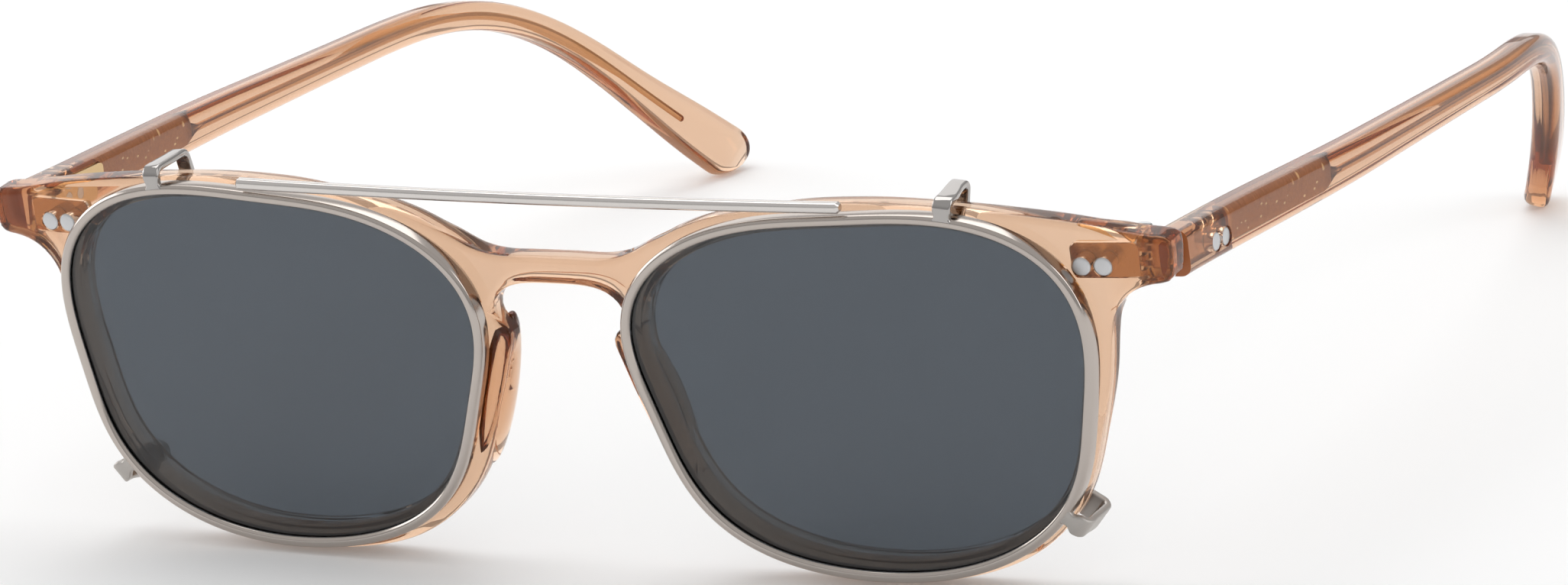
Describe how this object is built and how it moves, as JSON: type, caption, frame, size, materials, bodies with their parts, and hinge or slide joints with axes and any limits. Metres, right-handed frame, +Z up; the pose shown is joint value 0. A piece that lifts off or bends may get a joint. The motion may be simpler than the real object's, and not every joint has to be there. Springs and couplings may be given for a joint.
{
  "type": "clip-on eyeglasses",
  "caption": "Full-rim acetate eyeglasses with riveted folding temples, and a metal clip with tinted lenses that hooks over the front.",
  "frame": {"origin": "on the table, under the middle of the glasses' bounding box, with the temples open", "axes": "+X towards the wearer's left, +Y from the front back along the temples, +Z up"},
  "size_m": [0.1412, 0.1426, 0.0434],
  "materials": {
    "peach_acetate": "polished translucent cellulose acetate",
    "clear_lens": "clear, polished",
    "grey_lens": "neutral grey tint, polished",
    "nickel_silver_hinge": "milled nickel silver, polished",
    "steel_screw": "turned steel",
    "satin_rivet": "satin",
    "bronze_core": "stamped plate and drawn wire, satin",
    "silver_clip": "satin silver plating on wire and strip"
  },
  "bodies": {
    "front": {"front_frame": "peach_acetate", "demo_lens_left": "clear_lens", "demo_lens_right": "clear_lens", "front_hinge_left": "nickel_silver_hinge", "front_hinge_right": "nickel_silver_hinge", "hinge_screw_left": "steel_screw", "hinge_screw_right": "steel_screw", "front_rivet_1_left": "satin_rivet", "front_rivet_1_right": "satin_rivet", "front_rivet_2_left": "satin_rivet", "front_rivet_2_right": "satin_rivet", "clip_rim_left": "silver_clip", "clip_rim_right": "silver_clip", "clip_lens_left": "grey_lens", "clip_lens_right": "grey_lens", "clip_brow_bar": "silver_clip", "clip_top_hook_left": "silver_clip", "clip_top_hook_right": "silver_clip", "clip_lower_hook_left": "silver_clip", "clip_lower_hook_right": "silver_clip"},
    "temple_left": {"temple_left": "peach_acetate", "temple_core_left": "bronze_core", "temple_hinge_left": "nickel_silver_hinge", "temple_rivet_1_left": "satin_rivet", "temple_rivet_2_left": "satin_rivet"},
    "temple_right": {"temple_right": "peach_acetate", "temple_core_right": "bronze_core", "temple_hinge_right": "nickel_silver_hinge", "temple_rivet_1_right": "satin_rivet", "temple_rivet_2_right": "satin_rivet"}
  },
  "joints": [
    {"name": "left_hinge", "type": "hinge", "parent": "front", "child": "temple_left", "pos_m": [0.06375, -0.05929, 0.03537], "axis": [0, 0.0632, 0.998], "range_deg": [0, 84]},
    {"name": "right_hinge", "type": "hinge", "parent": "front", "child": "temple_right", "pos_m": [-0.06375, -0.05929, 0.03537], "axis": [0, -0.0632, -0.998], "range_deg": [0, 62]}
  ]
}
